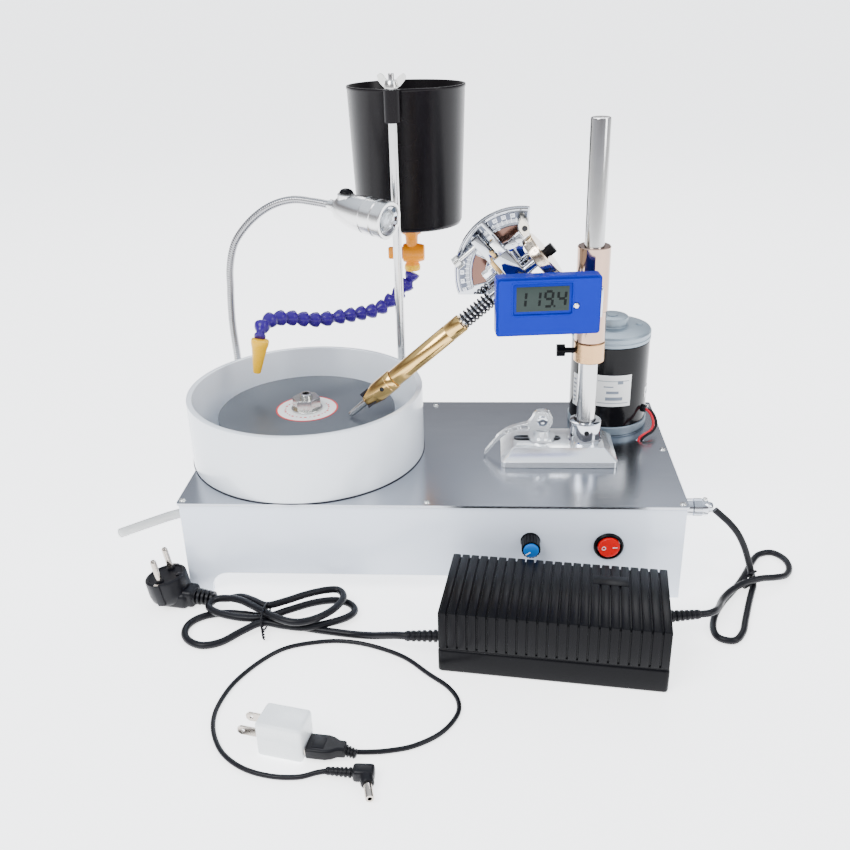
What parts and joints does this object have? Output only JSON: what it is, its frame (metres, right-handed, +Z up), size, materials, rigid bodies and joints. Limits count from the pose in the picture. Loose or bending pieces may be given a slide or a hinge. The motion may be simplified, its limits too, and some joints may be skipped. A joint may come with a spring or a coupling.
{
  "type": "faceting machine",
  "caption": "Bench gem faceting machine: splash basin and lap on a box base, tilting quill on a sliding mast, drip tank on a rod, gooseneck lamp, power and lamp leads.",
  "frame": {"origin": "middle of the machine's footprint at the bench, measured without its loose leads and drain hose", "axes": "+X to the operator's right, +Y away from the operator, +Z up"},
  "size_m": [0.5573, 0.4981, 0.3852],
  "materials": {
    "acrylic": "milky white sheet",
    "brushed_plate": "brushed",
    "white_basin": "gloss white",
    "grey_casting": "cast, lightly polished",
    "motor_black": "gloss black paint",
    "steel": "turned",
    "belt_rubber": "matt",
    "lead_insulation": "red and black insulation",
    "blue_cap": "black barrel with a blue cap",
    "black_plastic": "satin black",
    "red_plastic": "gloss red",
    "chrome": "mirror",
    "brass": "polished",
    "champagne_nickel": "champagne plating",
    "cobalt_blue": "cobalt blue",
    "black_steel": "black oxide",
    "zinc": "zinc plated",
    "lap_grey": "matt abrasive face",
    "orange_plastic": "gloss orange",
    "yellow_plastic": "gloss yellow",
    "hose_blue": "gloss blue",
    "satin_aluminium": "satin",
    "black_rubber": "satin black",
    "white_plastic": "white",
    "clear_vinyl": "clear soft tube"
  },
  "bodies": {
    "machine": {"front_panel": "acrylic", "rear_panel": "acrylic", "left_panel": "acrylic", "right_panel": "acrylic", "top_plate": "brushed_plate", "splash_basin": "white_basin", "bearing_housing": "grey_casting", "motor_can": "motor_black", "motor_top_cap": "grey_casting", "drive_belt": "belt_rubber", "motor_leads": "lead_insulation", "switch_bezel": "black_plastic", "power_socket": "chrome", "clamp_stud": "chrome", "tank_rod": "steel", "lamp_neck_lower": "satin_aluminium", "drain_hose": "clear_vinyl", "dc_plug": "chrome", "dc_cable": "black_rubber", "power_adapter": "black_plastic", "mains_lead": "black_rubber", "mains_hank": "black_rubber", "mains_plug": "black_rubber", "usb_charger": "white_plastic", "usb_lead": "black_rubber", "lamp_jack": "black_plastic"},
    "lap": {"lap_arbor": "steel", "lap_disc": "lap_grey", "lap_nut": "zinc"},
    "motor": {"motor_rotor": "steel"},
    "knob": {"speed_knob": "blue_cap"},
    "rocker": {"switch_rocker": "red_plastic"},
    "lever": {"clamp_lever": "chrome"},
    "mast": {"mast_base": "chrome", "mast_rod": "chrome"},
    "collar": {"stop_collar": "brass"},
    "thumbscrew": {"collar_screw": "black_plastic"},
    "carriage": {"carriage_sleeve": "champagne_nickel", "protractor": "chrome", "display_case": "cobalt_blue"},
    "button": {"display_button": "steel"},
    "tilt": {"yoke": "chrome", "quill_spring": "black_steel"},
    "stop_screw": {"angle_stop_screw": "zinc"},
    "pawl": {"index_pawl": "champagne_nickel"},
    "quill": {"quill_tube": "brass"},
    "spindle": {"quill_shaft": "chrome", "index_wheel": "champagne_nickel", "chuck": "brass", "dop_stick": "steel"},
    "tank": {"water_tank": "black_plastic", "valve_body": "orange_plastic"},
    "wing_nut": {"tank_wing_nut": "zinc"},
    "valve": {"valve_handle": "yellow_plastic"},
    "hose_top": {"hose_upper": "hose_blue"},
    "hose_end": {"hose_lower": "hose_blue"},
    "nozzle": {"hose_nozzle": "yellow_plastic"},
    "lamp_arm": {"lamp_neck_upper": "satin_aluminium"},
    "lamp": {"lamp_head": "satin_aluminium"},
    "lamp_switch": {"lamp_button": "black_plastic"}
  },
  "joints": [
    {"name": "lap_spin", "type": "hinge", "parent": "machine", "child": "lap", "pos_m": [-0.10975, -0.0325, 0.1217], "axis": [0, 0, 1], "continuous": true},
    {"name": "motor_spin", "type": "hinge", "parent": "machine", "child": "motor", "pos_m": [0.15415, 0.0278, 0.12], "axis": [0, 0, 1], "continuous": true},
    {"name": "speed_turn", "type": "hinge", "parent": "machine", "child": "knob", "pos_m": [0.07915, -0.131, 0.0522], "axis": [0, 1, 0], "range_deg": [0, 280]},
    {"name": "switch_rock", "type": "hinge", "parent": "machine", "child": "rocker", "pos_m": [0.14015, -0.131, 0.0482], "axis": [0, 0, -1], "range_deg": [0, 14]},
    {"name": "clamp_swing", "type": "hinge", "parent": "machine", "child": "lever", "pos_m": [0.09125, -0.045, 0.1172], "axis": [0, 1, 0], "range_deg": [0, 100]},
    {"name": "mast_slide", "type": "slide", "parent": "machine", "child": "mast", "axis": [1, 0, 0], "range_m": [-0.005, 0.008]},
    {"name": "height_slide", "type": "slide", "parent": "mast", "child": "collar", "axis": [0, 0, 1], "range_m": [0, 0.085]},
    {"name": "collar_screw_turn", "type": "hinge", "parent": "collar", "child": "thumbscrew", "pos_m": [0.10975, -0.04, 0.1775], "axis": [1, 0, 0], "continuous": true},
    {"name": "head_swivel", "type": "hinge", "parent": "collar", "child": "carriage", "pos_m": [0.12775, -0.04, 0.225], "axis": [0, 0, 1], "range_deg": [-3, 6]},
    {"name": "display_press", "type": "slide", "parent": "carriage", "child": "button", "axis": [-0.1045, 0.9945, 0], "range_m": [0, 0.0015], "stiffness_N_per_m": 400},
    {"name": "quill_tilt", "type": "hinge", "parent": "carriage", "child": "tilt", "pos_m": [0.07075, -0.0505, 0.2446], "axis": [0, 1, 0], "range_deg": [0, 45]},
    {"name": "stop_screw_turn", "type": "hinge", "parent": "tilt", "child": "stop_screw", "pos_m": [0.02411, -0.0495, 0.25601], "axis": [0.7595, 0, 0.6505], "range_deg": [-180, 180]},
    {"name": "pawl_lift", "type": "hinge", "parent": "tilt", "child": "pawl", "pos_m": [0.0646, -0.0505, 0.26961], "axis": [0, -1, 0], "range_deg": [0, 12], "stiffness_Nm_per_rad": 0.4, "springref_deg": -11.46},
    {"name": "quill_lift", "type": "slide", "parent": "tilt", "child": "quill", "axis": [0.7595, 0, 0.6505], "range_m": [0, 0.005], "stiffness_N_per_m": 300, "springref_m": -0.005, "deforming": ["quill_spring"]},
    {"name": "spindle_turn", "type": "hinge", "parent": "quill", "child": "spindle", "pos_m": [0.0867, -0.0505, 0.25826], "axis": [0.7595, 0, 0.6505], "continuous": true},
    {"name": "tank_swivel", "type": "hinge", "parent": "machine", "child": "tank", "pos_m": [-0.03445, 0.0525, 0.36], "axis": [0, 0, 1], "range_deg": [-6, 6]},
    {"name": "wing_nut_turn", "type": "hinge", "parent": "machine", "child": "wing_nut", "pos_m": [-0.03445, 0.0525, 0.376], "axis": [0, 0, 1], "continuous": true},
    {"name": "valve_turn", "type": "hinge", "parent": "tank", "child": "valve", "pos_m": [-0.02555, 0.1025, 0.222], "axis": [1, 0, 0], "range_deg": [0, 90]},
    {"name": "hose_swing", "type": "hinge", "parent": "tank", "child": "hose_top", "pos_m": [-0.02565, 0.1025, 0.2022], "axis": [0, 0, 1], "range_deg": [-6, 6]},
    {"name": "hose_bend", "type": "hinge", "parent": "hose_top", "child": "hose_end", "pos_m": [-0.10015, 0.0569, 0.1729], "axis": [0, 0, 1], "range_deg": [-6, 6]},
    {"name": "nozzle_aim", "type": "hinge", "parent": "hose_end", "child": "nozzle", "pos_m": [-0.15225, -0.0015, 0.1742], "axis": [0.9847, -0.1741, 0], "range_deg": [-10, 10]},
    {"name": "lamp_bend", "type": "hinge", "parent": "machine", "child": "lamp_arm", "pos_m": [-0.18905, 0.0545, 0.2042], "axis": [-0.17, -0.9854, 0], "range_deg": [-5, 10]},
    {"name": "lamp_aim", "type": "hinge", "parent": "lamp_arm", "child": "lamp", "pos_m": [-0.09015, 0.0375, 0.2815], "axis": [0, 0, 1], "range_deg": [-7, 7]},
    {"name": "lamp_press", "type": "slide", "parent": "lamp", "child": "lamp_switch", "axis": [-0.0881, 0.0551, -0.9946], "range_m": [0, 0.0008], "stiffness_N_per_m": 600}
  ],
  "couplings": [
    {"joint": "motor_spin", "follows": "lap_spin", "ratio": 2}
  ]
}
